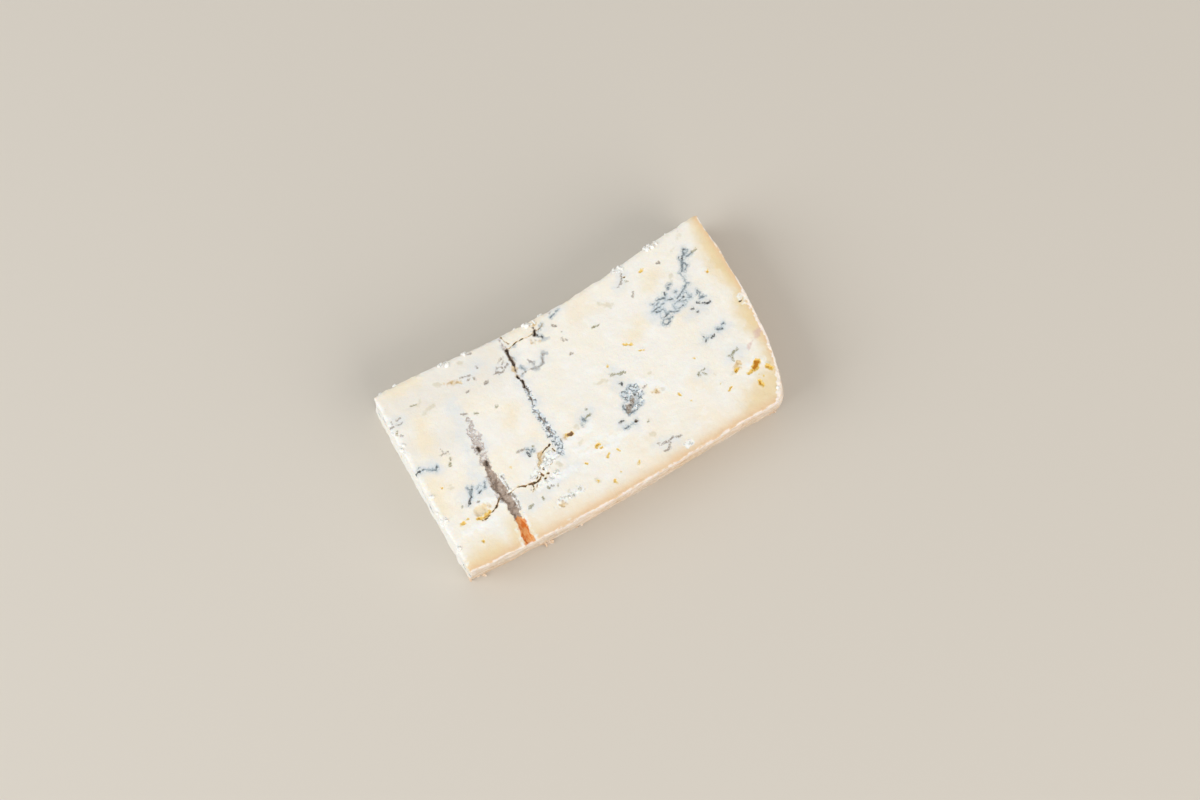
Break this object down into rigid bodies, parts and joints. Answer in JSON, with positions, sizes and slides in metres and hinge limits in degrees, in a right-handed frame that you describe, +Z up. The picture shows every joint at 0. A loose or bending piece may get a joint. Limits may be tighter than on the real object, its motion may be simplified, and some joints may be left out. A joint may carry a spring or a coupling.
{
  "type": "gorgonzola wedge",
  "caption": "Rectangular block of blue-veined soft cheese with a bowed outer rind, opened needle channels, cracks and pits on its top cut face, lying on its flat lower cut face.",
  "frame": {"origin": "under the middle of the bounding box, on the face that the block lies on", "axes": "+X along the block towards the outer rind, +Y across it from the flat rind to the cut at half height, +Z up out of the veined top face"},
  "size_m": [0.1708, 0.095, 0.0291],
  "materials": {
    "cheese_paste": "moist matt cream paste with blue-green veins and a tan rind"
  },
  "bodies": {
    "root": {"gorgonzola_wedge": "cheese_paste"}
  },
  "joints": []
}
